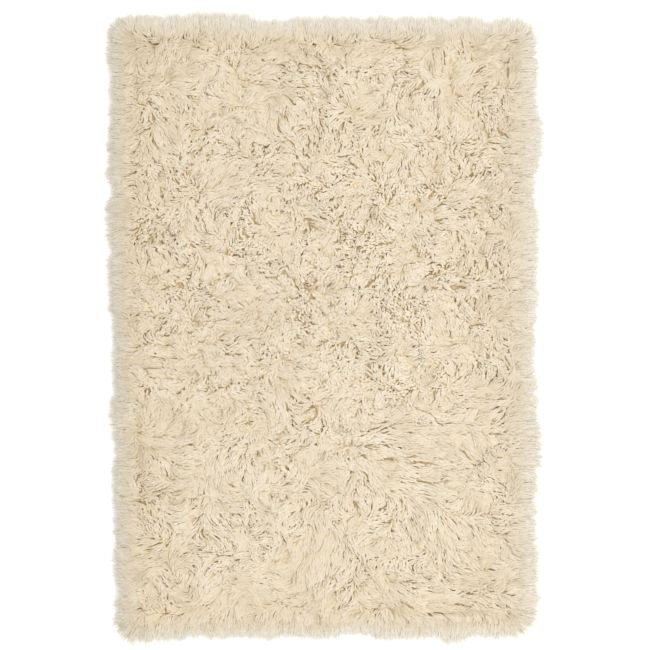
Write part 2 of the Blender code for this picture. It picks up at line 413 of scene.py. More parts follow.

# How much darker the field is painted just inside each side of the rug, as painted shade of the hollow
# behind the falling rim, from the left side anticlockwise, and how far in from there its wool is still
# paler, with the painted bounce light of the white floor (m)
BORDER_SHADE = (0.05, 0.10, 0.15, 0.26)
BORDER_PALE = (0.025, 0.025, 0.150, 0.045)

# Notches in the rug's outline between two tufts of its rim: place in the photo (px)
NOTCHES = (
    (110, 71), (109, 109), (108, 191), (114, 395), (116, 450), (115, 594), (536, 189),
    (534, 469), (530, 598), (166, 17), (234, 18), (261, 21), (338, 19), (400, 20),
    (454, 20), (490, 20), (196, 636), (349, 632), (431, 637), (486, 636),
)

# The combing's slow drifts: distance between bumps (m), first of two seeds, and strength
COMB_DRIFTS = ((0.16, 11, 0.95), (0.07, 13, 0.9), (0.035, 15, 0.4))
FIRM_PULL = 3  # the pull from which a combed stretch holds its wool fully

# How far (m) and how firmly a crease and the rug's edge turn the wool beside them, and how softly the
# edge's way turns at a corner (m)
CREASE_REACH = 0.022
CREASE_PULL = 2.5
EDGE_REACH = 0.050
EDGE_PULL = 2.6
EDGE_SOFTNESS = 0.04

# The slits along a crease: their pitch (m), where in it each lies, how far each strays (m) and turns
# (radians), and their sizes beside the largest slit's
CREASE_PITCH = 0.009
CREASE_JITTER = (0.2, 0.8)
CREASE_STRAY = 0.0015
CREASE_TURN = 0.15
CREASE_SIZES = (0.10, 0.60)

# Broad painted shades of the field, and the painted light of NEAR_GLOW: where each begins or is deepest
# (m), how far it spreads (m) and its amount, which for the border is BORDER_SHADE. The left shade is
# painted shade on the side away from the lamps, and the right one tones down the lamps' light near their
# side. SHADE_DRIFT and SHADE_CHANGE give a tone that drifts at random
LEFT_SHADE = (-0.30, 0.25, 0.17)
RIGHT_SHADE = (0.36, 0.14, 0.12)
NEAR_GLOW = ((0.05, -0.55), (0.35, 0.25), 0.05)
BORDER_BAND = (0.045, 0.040)
SHADE_DRIFT = (0.30, 26)
SHADE_CHANGE = 0.07

# How the field's wool varies. A drift is a distance between bumps (m) and a seed, and a level is the
# middle and the swing of what drifts. Other pairs are a start and a change for `varied`: CURLY_TIGHT is
# how curly loose wool is, and how much more tight wool is
TUFT_WANDER = 0.32
LOCK_WANDER = 0.28
INNER_FROM = 0.005
INNER_OVER = 0.045
TIGHT_DRIFT = (0.10, 21)
TIGHT_LEVEL = (0.34, 0.30)
BUSY_DRIFT = (0.06, 25)
BUSY_LEVEL = (0.45, 1.3)
BUSY_LEAST = 0.05
FREE_INNER = (0.25, 0.75)
CURLY_TIGHT = (0.2, 0.8)
CURLY_BUSY = (0.3, 1.3)
CURLY_COMBED = (1, -0.8)
LENGTH_RANGE = (0.8, 1.15)
SHORT_STRIDE = 0.42
STRIDE_TIGHT = (1, -0.30)

# How far locks swing and curl (radians) by tuft and by themselves, and how the wool changes it
SWING_TUFT = 0.40
SWING_LOCK = 0.12
SWING_SHORT = 0.5
SWING_TIGHT = (0.5, 1.3)
SWING_COMBED = (1, -0.75)
CURL_TUFT = 0.9
CURL_LOCK = 0.4
CURL_TIGHT = (0.5, 1.0)
CURL_COMBED = (1, -0.5)

# How tufts draw together, and how near their borders low locks and slits are found, in tuft pitches
GATHER_TIGHT = (0.4, 0.6)
PARTING_TIGHT = (0.4, 0.9)
LOW_TIGHT = (0.35, 0.65)
LOW_BUSY = (0.4, 1.1)
LOW_BORDER = 0.22
SLIT_BORDER = 0.3
SLIT_ANYWHERE = 0.15
SLIT_TIGHT = (0.12, 1)
SLIT_INNER = (0.3, 0.7)

# Slits: half their length (m), what locks keep clear in lock widths, the size from which a slit's lock is
# sunk, and how far from a slit locks are moved and sought, and at most moved (m)
SLIT_LENGTH = (0.003, 0.004)
SLIT_CLEARANCE = 0.2
SLIT_SUNK_FROM = 0.25
SLIT_REACH = 0.018
SLIT_MARGIN = 0.03
SLIT_MOST = 0.0055
TINY = 1e-9  # keeps a division from failing

# Heights (m): how far the field lies below the solid's top, how far sunk tufts and locks in slits are
# lowered, and short locks and tips raised, and the least. SUNK_LEVEL is the share of tufts that are sunk
FIELD_BELOW = 0.003
ROOTS_BELOW = 1.2  # in depths of the undercoat
SUNK_DRIFT = (0.09, 23)
SUNK_LEVEL = (0.05, 0.08)
SUNK_STEP = 0.004
SLIT_STEP = 0.007
SHORT_STEP = 0.0010
TIP_TIGHT = (-0.0002, 0.0012)
FIELD_LEAST = 0.004

# The field locks' tint, wave and section, and how pale they are at the rug's sides. The tint is a random
# tone by tuft and lock, painted light that lifts tight and busy pile out of the shade of its slits, and
# the painted shade and light of shade_at; how pale they are is painted floor bounce
TINT_TIGHT = (0.40, 0.245)
TINT_BUSY = 0.25
TINT_TUFT = 0.09
TINT_LOCK = 0.13
TINT_LOCK_BUSY = (0.25, 0.75)
PHASE_LOCK = 0.05
WAVES_RANGE = (0.8, 1.2)
CRIMP_RANGE = (0.5, 1.3)
WIDTH_RANGE = (0.75, 1.25)
WIDTH_TIGHT = (1.18, 0.2)
WIDTH_BUSY = 0.30
THICKNESS_RANGE = (0.8, 1.2)
RUFFLE_BUSY = (0.5, 1)
FIELD_PALE = 0.65


def from_photo(px, py):
    """The place on the floor that a place in the photo shows."""
    return np.array([px - RUG_MIDDLE_PX[0], RUG_MIDDLE_PX[1] - py]) * METRES_PER_PX


def photo_fade(places, px, py, radius):
    """1 at a place in the photo, falling to nothing about two radii (px) away from it."""
    return fade(np.linalg.norm(places - from_photo(px, py), axis=1), radius * METRES_PER_PX)


def comb_direction(places):
    """The direction in which the pile has been combed, as flat vectors that aren't of unit length."""
    way = np.zeros_like(places)
    for pitch, seed, strength in COMB_DRIFTS:
        drift = [smooth_noise(places, pitch, seed), smooth_noise(places, pitch, seed + 1)]
        way += np.stack(drift, axis=1) * strength
    for px, py, degrees, radius, pull in COMBED:
        share = photo_fade(places, px, py, radius)
        angle = math.radians(degrees)
        way += share[:, None] * pull * np.array([math.cos(angle), math.sin(angle)])
    for x0, y0, x1, y1 in CREASES:
        start, run = from_photo(x0, y0), from_photo(x1, y1) - from_photo(x0, y0)
        part = np.clip((places - start) @ run / (run @ run), 0, 1)
        distance = np.linalg.norm(places - start - part[:, None] * run, axis=1)
        agrees = np.where(way @ run < 0, -1, 1)
        way += (fade(distance, CREASE_REACH) * CREASE_PULL * agrees)[:, None] * unit(run)
    depth = edge_depths(places).min(axis=1)
    held = (1 - smooth_step(depth / EDGE_REACH))[:, None]
    return way + outward_at(places, EDGE_SOFTNESS) * EDGE_PULL * held


def combed_share(places):
    """How firmly the combing holds each place, from 0 to 1."""
    shares = []
    for px, py, _, radius, pull in COMBED:
        shares.append(photo_fade(places, px, py, radius) * min(1.0, pull / FIRM_PULL))
    return np.max(shares, axis=0)


def shade_at(places):
    """How much paler or darker the wool is painted from one part of the rug to another: painted shade on
    the left, on the right and just inside each side, painted light near the middle of the near side, and a
    tone that drifts at random.
    """
    start, spread, amount = LEFT_SHADE
    left = amount * smooth_step((start - places[:, 0]) / spread)
    start, spread, amount = RIGHT_SHADE
    right = amount * smooth_step((places[:, 0] - start) / spread)
    middle, spread, amount = NEAR_GLOW
    glow = amount * np.exp(-(((places - middle) / spread) ** 2).sum(axis=1))
    middle, spread = BORDER_BAND
    border = (fade(edge_depths(places) - middle, spread) * BORDER_SHADE).max(axis=1)
    return SHADE_CHANGE * smooth_noise(places, *SHADE_DRIFT) - left - right + glow - border


def crease_slits(rng):
    """Places strung along the creases, and the creases' directions there."""
    places, ways = [], []
    for x0, y0, x1, y1 in CREASES:
        start, run = from_photo(x0, y0), from_photo(x1, y1) - from_photo(x0, y0)
        count = max(2, round(float(np.linalg.norm(run)) / CREASE_PITCH))
        share = (np.arange(count) + rng.uniform(*CREASE_JITTER, count)) / count
        aside = leftward(unit(run)) * rng.normal(0, CREASE_STRAY, count)[:, None]
        places.append(start + share[:, None] * run + aside)
        ways.append(turned(np.tile(unit(run), (count, 1)), rng.normal(0, CREASE_TURN, count)))
    return np.concatenate(places), np.concatenate(ways)


def traced(middles, strides, swing, curl):
    """Flat lines that follow the combing both ways from the middles, which lie on the surface."""
    line = np.zeros((len(middles), len(RINGS), 2))
    heading = turned(unit(comb_direction(middles)), swing)
    for rings in ((2, 3), (1, 0)):  # on to the tip, and back to the root
        place, share = middles, SURFACE_SHARE
        for i in rings:
            bend = swing + curl * ((RINGS[i] + share) / 2 - SURFACE_SHARE)
            way = turned(unit(comb_direction(place)), bend)
            place = place + way * (strides * (RINGS[i] - share))[:, None]
            line[:, i] = place
            share = RINGS[i]
    return line, heading


def part_round(flat, places, ways, lengths, widths):
    """Moves flat lines aside so that slits stay open between them, each at a place and along a way."""
    tree = place_tree((flat[:, 1] + flat[:, 2]) / 2)
    pairs = [
        (found[1], j)
        for j, place in enumerate(places)
        for found in tree.find_range((*place, 0), SLIT_REACH + SLIT_MARGIN)
    ]
    lock, slit = np.array(pairs).T
    way, aside = ways[slit], leftward(ways)[slit]
    scale = np.stack([1 / lengths[slit], 1 / widths[slit]], axis=1)
    best = np.full(len(lock), np.inf)
    ring, share, push = np.zeros(len(lock), int), np.zeros(len(lock)), np.zeros(len(lock))
    for k in range(len(RINGS) - 1):
        start, end = flat[lock, k] - places[slit], flat[lock, k + 1] - places[slit]
        a = np.stack([(start * way).sum(axis=1), (start * aside).sum(axis=1)], axis=1)
        b = np.stack([(end * way).sum(axis=1), (end * aside).sum(axis=1)], axis=1)
        run = (b - a) * scale
        part = np.clip(-(a * scale * run).sum(axis=1) / np.maximum((run**2).sum(axis=1), TINY), 0, 1)
        nearest = a + (b - a) * part[:, None]
        distance = ((nearest * scale) ** 2).sum(axis=1)
        within = np.sqrt(np.clip(1 - (nearest[:, 0] / lengths[slit]) ** 2, 0, 1))
        amount = np.where(nearest[:, 1] < 0, -1, 1) * widths[slit] * within
        amount *= np.clip(1 - np.abs(nearest[:, 1]) / SLIT_REACH, 0, 1)
        closer = distance < best
        best[closer] = distance[closer]
        ring[closer] = k
        share[closer] = part[closer]
        push[closer] = amount[closer]
    norm = (1 - share) ** 2 + share**2
    moves = np.zeros_like(flat)
    np.add.at(moves, (lock, ring), aside * (push * (1 - share) / norm)[:, None])
    np.add.at(moves, (lock, ring + 1), aside * (push * share / norm)[:, None])
    size = np.maximum(np.linalg.norm(moves, axis=-1, keepdims=True), TINY)
    return flat + moves * np.minimum(1, SLIT_MOST / size)


class FieldPlan:
    """Where the field's locks lie, the tuft of each, and what the wool is like at each."""

    def __init__(self, settings):
        self.rng = np.random.default_rng(settings.seed)
        self.tufts = scattered(settings.tuft_pitch, TUFT_WANDER, self.rng)
        places = scattered(settings.lock_pitch, LOCK_WANDER, self.rng)
        self.middles = places[edge_depths(places).min(axis=1) > 0.0]
        self.count = len(self.middles)
        tree = place_tree(self.tufts)
        nearest = [tree.find_n((*place, 0), 2) for place in self.middles]
        self.tuft = np.array([found[0][1] for found in nearest])
        # In tuft pitches, and 0 where a lock lies half-way between two tufts
        self.border = np.array([found[1][2] - found[0][2] for found in nearest]) / settings.tuft_pitch
        # 0 at the rug's edge and 1 well inside, then the wool's own shares: tight, busy and combed
        depth = edge_depths(self.middles).min(axis=1)
        self.inner = smooth_step((depth - INNER_FROM) / INNER_OVER)
        tight = varied(smooth_noise(self.tufts, *TIGHT_DRIFT), *TIGHT_LEVEL)
        for px, py, radius, more in TIGHT:
            tight += more * photo_fade(self.tufts, px, py, radius)
        self.tight = np.clip(tight, 0, 1)[self.tuft] * self.inner
        self.busy = np.clip(varied(smooth_noise(self.middles, *BUSY_DRIFT), *BUSY_LEVEL), BUSY_LEAST, 1)
        self.combed = combed_share(self.middles)

    def even(self, low, high):
        """An evenly spread value for each lock."""
        return self.rng.uniform(low, high, self.count)

    def even_by_tuft(self, low, high):
        """An evenly spread value for each tuft, handed to its locks."""
        return self.rng.uniform(low, high, len(self.tufts))[self.tuft]

    def normal(self, spread):
        """A normal value for each lock."""
        return self.rng.normal(0, spread, self.count)

    def normal_by_tuft(self, spread):
        """A normal value for each tuft, handed to its locks."""
        return self.rng.normal(0, spread, len(self.tufts))[self.tuft]


def comb_field(settings, plan):
    """The field locks' flat lines, headings and lengths, and which of them are short."""
    length = settings.lock_length * plan.even(*LENGTH_RANGE)
    curly = varied(plan.tight, *CURLY_TIGHT) * varied(plan.busy, *CURLY_BUSY)
    curly = curly * varied(plan.combed, *CURLY_COMBED) * plan.inner
    short = plan.even(0, 1) < settings.short_share * curly
    strides = length * np.where(short, SHORT_STRIDE, varied(plan.tight, *STRIDE_TIGHT))
    free = varied(plan.inner, *FREE_INNER)
    swing = plan.normal_by_tuft(SWING_TUFT) + plan.normal(SWING_LOCK)
    swing = swing * varied(plan.tight, *SWING_TIGHT) * free
    swing = swing * varied(plan.combed, *SWING_COMBED) + plan.normal(SWING_SHORT) * short
    curl = plan.normal_by_tuft(CURL_TUFT) + plan.normal(CURL_LOCK)
    curl = curl * varied(plan.tight, *CURL_TIGHT) * free * (1 + short) * varied(plan.combed, *CURL_COMBED)
    flat, heading = traced(plan.middles, strides, swing, curl)
    return flat, heading, length, short


def gather_tufts(settings, plan, flat, heading):
    """Draws each tuft's locks together. Returns their places across it, and which locks lie low."""
    aside = leftward(heading)
    across = ((plan.middles - plan.tufts[plan.tuft]) * aside).sum(axis=1)
    chance = settings.low_share * varied(plan.tight, *LOW_TIGHT) * varied(plan.busy, *LOW_BUSY)
    low = plan.even(0, 1) < chance * fade(plan.border, LOW_BORDER)
    drawn = settings.gather * varied(plan.tight, *GATHER_TIGHT) * ~low
    parting = settings.parting * varied(plan.tight, *PARTING_TIGHT) * ~low
    ends = np.abs(RINGS - SURFACE_SHARE)[None, :] * 2
    draw = -across[:, None] * (parting[:, None] + drawn[:, None] * ends)
    flat += draw[..., None] * aside[:, None, :]
    return across, low


def open_slits(settings, plan, flat):
    """Parts the locks at slits and creases. Returns their lines, and which of them lie in a slit."""
    chance = varied(plan.tight, *SLIT_TIGHT) * (SLIT_ANYWHERE + fade(plan.border, SLIT_BORDER))
    chance = chance * plan.busy * varied(plan.inner, *SLIT_INNER)
    slits = plan.rng.choice(plan.count, settings.slits, replace=False, p=chance / chance.sum())
    size = plan.rng.uniform(0, 1, len(slits)) ** 2
    crease_places, crease_ways = crease_slits(plan.rng)
    places = np.concatenate([plan.middles[slits], crease_places])
    ways = np.concatenate([unit(flat[slits, 2] - flat[slits, 1]), crease_ways])
    in_slit = np.zeros(plan.count, bool)
    in_slit[slits[size > SLIT_SUNK_FROM]] = True
    in_slit[[np.argmin(((plan.middles - place) ** 2).sum(axis=1)) for place in crease_places]] = True
    size = np.concatenate([size, plan.rng.uniform(*CREASE_SIZES, len(crease_places))])
    widths = settings.slit_width * size + settings.lock_width * SLIT_CLEARANCE
    return part_round(flat, places, ways, varied(size, *SLIT_LENGTH), widths), in_slit


def lift_field(settings, plan, flat, level, rug):
    """Lines in space from flat ones: up from the undercoat, then at a level along the solid's top."""
    rise = smooth_step(RINGS / SURFACE_SHARE)[None, :]
    line = np.zeros((plan.count, len(RINGS), 3))
    line[..., :2] = flat
    line[..., 2] = rug.heights(flat) - FIELD_BELOW - settings.undercoat_depth * ROOTS_BELOW * (1 - rise)
    line[..., 2] += level[:, None] * rise
    line[..., 2] += varied(plan.tight, *TIP_TIGHT)[:, None] * smooth_step((RINGS - 0.5) * 2)[None, :]
    line[..., 2] = np.maximum(line[..., 2], FIELD_LEAST)
    return line


def field_locks(settings, rug):
    """The locks of the rug's field, laid out by the places where each comes to lie on the surface."""
    plan = FieldPlan(settings)
    flat, heading, length, short = comb_field(settings, plan)
    across, low = gather_tufts(settings, plan, flat, heading)
    flat, in_slit = open_slits(settings, plan, flat)

    ruffle = varied(plan.busy, *RUFFLE_BUSY)
    level = plan.even_by_tuft(-1, 1) * settings.tuft_step
    level += plan.even(-1, 1) * settings.lock_step * ruffle
    level -= settings.tuft_dome * (across / (settings.tuft_pitch / 2)) ** 2
    sunk_share = varied(smooth_noise(plan.tufts, *SUNK_DRIFT), *SUNK_LEVEL)[plan.tuft]
    sunk = SUNK_STEP * (plan.even_by_tuft(0, 1) < sunk_share) * plan.inner
    level -= sunk + settings.low_step * low + SLIT_STEP * in_slit - SHORT_STEP * short
    line = lift_field(settings, plan, flat, level, rug)

    # Painted light and shade: tight and busy pile is lifted out of the shade of its slits, shade_at adds its
    # painted shade and light, and each tuft and lock gets a random tone
    tint_and_shading = varied(plan.tight, *TINT_TIGHT) + TINT_BUSY * plan.busy + shade_at(plan.middles)
    tint_and_shading += plan.normal_by_tuft(TINT_TUFT) + plan.normal(TINT_LOCK) * varied(plan.busy, *TINT_LOCK_BUSY)
    phase = plan.even_by_tuft(0, 1) + plan.normal(PHASE_LOCK)
    waves = plan.even(*WAVES_RANGE)
    line = crimped(line, heading, plan.even(*CRIMP_RANGE) * settings.crimp, waves, phase)
    broad = varied(plan.tight, *WIDTH_TIGHT) - WIDTH_BUSY * plan.busy
    return {
        "line": line,
        "way": heading,
        "width": settings.lock_width * plan.even(*WIDTH_RANGE) * broad,
        "thickness": settings.lock_width * plan.even(*THICKNESS_RANGE) * settings.flatness * ruffle,
        "length": length,
        "taper": np.tile(BLUNT, (plan.count, 1)),
        "seed": plan.even(0, 1),
        "tint_and_shading": np.clip(tint_and_shading, 0, 1),
        # Locks that lie low or in a slit take the root colour in full, as painted shade
        "depth": (low | in_slit).astype(float),
        "pale": FIELD_PALE * (1 - smooth_step(edge_depths(plan.middles) / BORDER_PALE)).max(axis=1),
        "thin": np.zeros(plan.count),
    }


# The rim's tufts: their number, how far each strays, and how far tufts and locks lean and bend (radians)
RIM_TUFTS = 130
RIM_STRAY = 0.35
LEAN_TUFT = 0.13
LEAN_LOCK = 0.09
BEND_LOCK = 0.12
RIM_CORNER = (0.035, 0.3)  # how softly the rim turns at a corner (m), and how far it is drawn in there

# The rim's reach: places at which the solid's is read, how much more at corners, how much less at notches
RIM_SLOTS = 720
CORNER_MORE = 0.15
CORNER_REACH = 0.05
NOTCH_DEPTH = 0.20
NOTCH_RADIUS = 0.016

# A rim lock's share of that reach: the longest, how much shorter most and longer a few are, and the
# powers that spread them, then the stretch (m) towards a side on which the photo shows more
REACH_LONGEST = 1.165
REACH_SHORTER = (0.66, 0.9)
REACH_LONGER = (0.12, 4)
REACH_STRETCH = 0.006
STRETCH_WAY = (1.0, -0.5)

# Where the rim locks' roots lie in from the ground's edge (m), their heights (m), how fast they gather
# towards the tip, and how they vary in wave, crimp, width and thickness
RIM_INSIDE = (0.002, 0.030)
RIM_BELOW = 0.0035
RIM_ROOTS_BELOW = 0.010
RIM_ROOTS_SHARE = 0.36
RIM_TUFT_STEP = 0.0012
RIM_LEAST = 0.0012
RIM_GATHER_POWER = 1.5
RIM_WAVES = (0.8, 1.3)
RIM_CRIMP = (0.4, 1.2)
RIM_WIDTHS = (0.7, 1.3)
RIM_THICKNESSES = (0.3, 0.45)

# The rim's looks by the side it falls to: amounts for left, right, near and far
# RIM_SHADED and RIM_TINT paint shade on the rim by side: most on the left, away from the lamps, a little on
# the right and near sides, and painted light on the far side. RIM_PALER sets how much painted floor bounce
# each side takes
RIM_SHADED = (0.40, 0.13, 0.05, -0.22)
RIM_PALER = (0, 0, -0.42, -0.10)
RIM_ENDS = (0, 0, 1, 1)
RIM_THIN = (1.04, 0.05)
RIM_TINT = (0.73, -0.7)


def rim_line(share):
    """Places round the ground's edge and the directions away from it, at shares of the way round."""
    corners, _, along = edge_lines()
    ends = np.concatenate([[0], np.cumsum(edge_lengths())])
    distance = share * ends[-1]
    side = np.clip(np.searchsorted(ends, distance, side="right") - 1, 0, 3)
    places = corners[side] + along[side] * (distance - ends[side])[:, None]
    softness, drawn_in = RIM_CORNER
    cut = np.maximum(0, CORNER_RADIUS - np.sort(edge_depths(places), axis=1)[:, 1]) * drawn_in
    return places + unit(GROUND_MIDDLE - places) * cut[:, None], outward_at(places, softness)


def rim_tufts(share, rng):
    """The rim tufts' shares of the way round, each lock's tuft, and how far (m) it lies across it."""
    tuft_share = (np.arange(RIM_TUFTS) + rng.uniform(-RIM_STRAY, RIM_STRAY, RIM_TUFTS)) / RIM_TUFTS
    tuft = np.searchsorted(tuft_share, share) % RIM_TUFTS
    before = np.roll(tuft_share, 1) - np.where(np.arange(RIM_TUFTS) == 0, 1, 0)
    across = share - (before + tuft_share)[tuft] / 2
    return tuft_share, tuft, ((across + 0.5) % 1.0 - 0.5) * edge_lengths().sum()


def rim_reach(share, places, out, rug):
    """How far the rim's wool reaches at each place: as the solid's does, and less at the notches."""
    slot_places, slot_out = rim_line((np.arange(RIM_SLOTS) + 0.5) / RIM_SLOTS)
    slot = np.clip((share * RIM_SLOTS).astype(int), 0, RIM_SLOTS - 1)
    reach = rug.reaches(slot_places, slot_out)[slot]
    to_corner = np.linalg.norm(places[:, None] - GROUND_CORNERS, axis=2).min(axis=1)
    reach = reach * (1 + CORNER_MORE * fade(to_corner, CORNER_REACH))
    for px, py in NOTCHES:
        distance = np.linalg.norm(places + out * reach[:, None] - from_photo(px, py), axis=1)
        reach = reach * (1 - NOTCH_DEPTH * fade(distance, NOTCH_RADIUS))
    return reach


def by_side(out, start, amounts):
    """A value with an amount added for each side that a lock falls to: left, right, near and far."""
    sides = (-out[:, 0], out[:, 0], -out[:, 1], out[:, 1])
    return sum((amount * np.clip(side, 0, 1) for amount, side in zip(amounts, sides)), start)


def rim_locks(settings, rug):
    """The finer locks that fall over the ground's edge and fade out on the floor."""
    rng = np.random.default_rng(settings.seed + 1)
    count = settings.rim_locks
    share = (np.arange(count) + rng.uniform(-0.5, 0.5, count)) / count % 1.0
    places, out = rim_line(share)
    layer = rng.uniform(0, 1, count)  # 0 lies lowest, 1 on top of the rim
    inside = varied(rng.uniform(0, 1, count), *RIM_INSIDE)
    roots = places - out * inside[:, None]

    tuft_share, tuft, across = rim_tufts(share, rng)
    lean = np.interp(share, tuft_share, rng.normal(0, LEAN_TUFT, RIM_TUFTS), period=1)
    lean = lean + rng.normal(0, LEAN_LOCK, count)
    heading = turned(out, lean)
    shorter = REACH_SHORTER[0] * rng.uniform(0, 1, count) ** REACH_SHORTER[1]
    longer = REACH_LONGER[0] * rng.uniform(0, 1, count) ** REACH_LONGER[1]
    reach = rim_reach(share, places, out, rug) * (REACH_LONGEST - shorter + longer) / np.cos(lean)
    total = reach + REACH_STRETCH * np.clip(out @ STRETCH_WAY, 0, 1) + inside

    bend = rng.normal(0, BEND_LOCK, count)
    line = np.zeros((count, len(RINGS), 3))
    for i, ring in enumerate(RINGS):
        line[:, i, :2] = roots + turned(heading, bend * ring) * (total * ring)[:, None]
        gathered = across * settings.rim_gather * ring**RIM_GATHER_POWER
        line[:, i, :2] -= leftward(out) * gathered[:, None]
    sunk = RIM_ROOTS_BELOW * (1 - smooth_step(RINGS / RIM_ROOTS_SHARE))[None, :]
    raised = (layer - 0.5) * settings.rim_depth
    raised = raised + rng.uniform(-RIM_TUFT_STEP, RIM_TUFT_STEP, RIM_TUFTS)[tuft]
    line[..., 2] = rug.heights(line[..., :2]) - RIM_BELOW - sunk + raised[:, None]
    waves = rng.uniform(*RIM_WAVES, count)
    crimp = rng.uniform(*RIM_CRIMP, count) * settings.crimp
    line = crimped(line, heading, crimp, waves, rng.uniform(0, 1, RIM_TUFTS)[tuft])
    line[..., 2] = np.maximum(line[..., 2], RIM_LEAST)
    # Painted shade by the side the lock falls to, to which a random tone is added below
    tint_and_shading = varied(by_side(out, 0, RIM_SHADED), *RIM_TINT)
    return {
        "line": line,
        "way": heading,
        "width": settings.rim_width * rng.uniform(*RIM_WIDTHS, count),
        "thickness": settings.rim_width * rng.uniform(*RIM_THICKNESSES, count),
        "length": np.full(count, settings.lock_length),
        "taper": np.tile(FINE, (count, 1)),
        "seed": rng.uniform(0, 1, count),
        "tint_and_shading": np.clip(tint_and_shading + rng.normal(0, TINT_LOCK, count), 0, 1),
        "depth": np.zeros(count),
        "pale": by_side(out, 1.0, RIM_PALER),
        "thin": varied(by_side(out, 0, RIM_ENDS), *RIM_THIN),
    }


# The wool's colours: where along a lock its root, cream and tip colours are met, the root's being painted
# shade, and the stops of what multiplies them by tint, which carries painted light and shade, across its
# edges, as painted shade of the lower edges, and by fibre, and of how far its thin end is covered
ALONG_STOPS = (0.20, 0.62, 1.0)
TINT_STOPS = ((0.0, (0.80, 0.757, 0.685)), (0.3, (0.90, 0.862, 0.787)), (1.0, WHITE))
EDGE_STOP = 0.42
FIBRE_STOPS = ((0.0, (0.895, 0.865, 0.80)), (1.0, WHITE))
THIN_STOPS = ((0.62, BLACK), (1.0, (0.9, 0.9, 0.9)))
FIBRES = (("Fibres Around", 3.5), ("Fibre Waver", 60.0))
UNDERCOAT_LIGHTER = 1.15  # how much lighter the undercoat's palest flecks are


def set_sockets(node, values):
    """Sets a node's own sockets to fixed values."""
    for name, value in values.items():
        node.inputs[name].default_value = value


def new_finish(name):
    """A new material, its nodes, its links and its shader."""
    material = bpy.data.materials.new(name)
    material.use_nodes = True
    nodes = material.node_tree.nodes
    return material, nodes, material.node_tree.links, nodes["Principled BSDF"]


def add_bump(nodes, links, shader, height, strength, distance):
    """Fine relief from a height on a shader's normal."""
    bump = nodes.new("ShaderNodeBump")
    set_sockets(bump, {"Strength": strength, "Distance": distance})
    links.new(height, bump.inputs["Height"])
    links.new(bump.outputs["Normal"], shader.inputs["Normal"])


def fibre_group():
    """Fine fibres that run along a lock: a value from 0 to 1 from its own map."""
    name = "wool_fibres"
    if name in bpy.data.node_groups:
        return bpy.data.node_groups[name]
    group = bpy.data.node_groups.new(name, "ShaderNodeTree")
    for label, value in FIBRES:
        socket = group.interface.new_socket(label, in_out="INPUT", socket_type="NodeSocketFloat")
        socket.default_value = value
    group.interface.new_socket("Fibres", in_out="OUTPUT", socket_type="NodeSocketFloat")
    nodes = group.nodes
    inputs = nodes.new("NodeGroupInput")
    outputs = nodes.new("NodeGroupOutput")
    uv = nodes.new("ShaderNodeUVMap")
    uv.uv_map = "LockUV"
    parts = nodes.new("ShaderNodeSeparateXYZ")
    around = nodes.new("ShaderNodeMath")
    along = nodes.new("ShaderNodeMath")
    around.operation = along.operation = "MULTIPLY"
    join = nodes.new("ShaderNodeCombineXYZ")
    noise = nodes.new("ShaderNodeTexNoise")
    noise.noise_dimensions = "2D"
    set_sockets(noise, {"Scale": 1.0, "Detail": 2.0})
    spread = nodes.new("ShaderNodeMapRange")
    set_sockets(spread, {"From Min": 0.32, "From Max": 0.68})
    for source, output, target, socket in (
        (uv, "UV", parts, "Vector"),
        (parts, "X", around, 0),
        (inputs, "Fibres Around", around, 1),
        (parts, "Y", along, 0),
        (inputs, "Fibre Waver", along, 1),
        (around, "Value", join, "X"),
        (along, "Value", join, "Y"),
        (join, "Vector", noise, "Vector"),
        (noise, "Fac", spread, "Value"),
        (spread, "Result", outputs, "Fibres"),
    ):
        group.links.new(source.outputs[output], target.inputs[socket])
    return group


def read_attribute(nodes, name):
    """A value that the locks' meshes carry at each point."""
    node = nodes.new("ShaderNodeAttribute")
    node.attribute_type = "GEOMETRY"
    node.attribute_name = name
    return node.outputs["Fac"]


# The places of a colour mix's sockets on its node: factor, first and second colour, and result
MIX_INPUTS = (0, 6, 7)
MIX_RESULT = 2


def mixed(nodes, links, kind, factor, first, second):
    """A colour mix. Factor, first and second are each a socket or a value."""
    mix = nodes.new("ShaderNodeMix")
    mix.data_type = "RGBA"
    mix.blend_type = kind
    for place, value in zip(MIX_INPUTS, (factor, first, second)):
        if isinstance(value, bpy.types.NodeSocket):
            links.new(value, mix.inputs[place])
        else:
            mix.inputs[place].default_value = value
    return mix.outputs[MIX_RESULT]


def ramp(nodes, links, source, stops):
    """Colours read from a value, with a stop for each (position, colour)."""
    node = nodes.new("ShaderNodeValToRGB")
    elements = node.color_ramp.elements
    while len(elements) < len(stops):
        elements.new(0.5)
    for element, (position, colour) in zip(elements, stops):
        element.position = position
        element.color = (*colour, 1.0)
    links.new(source, node.inputs["Fac"])
    return node.outputs["Color"]


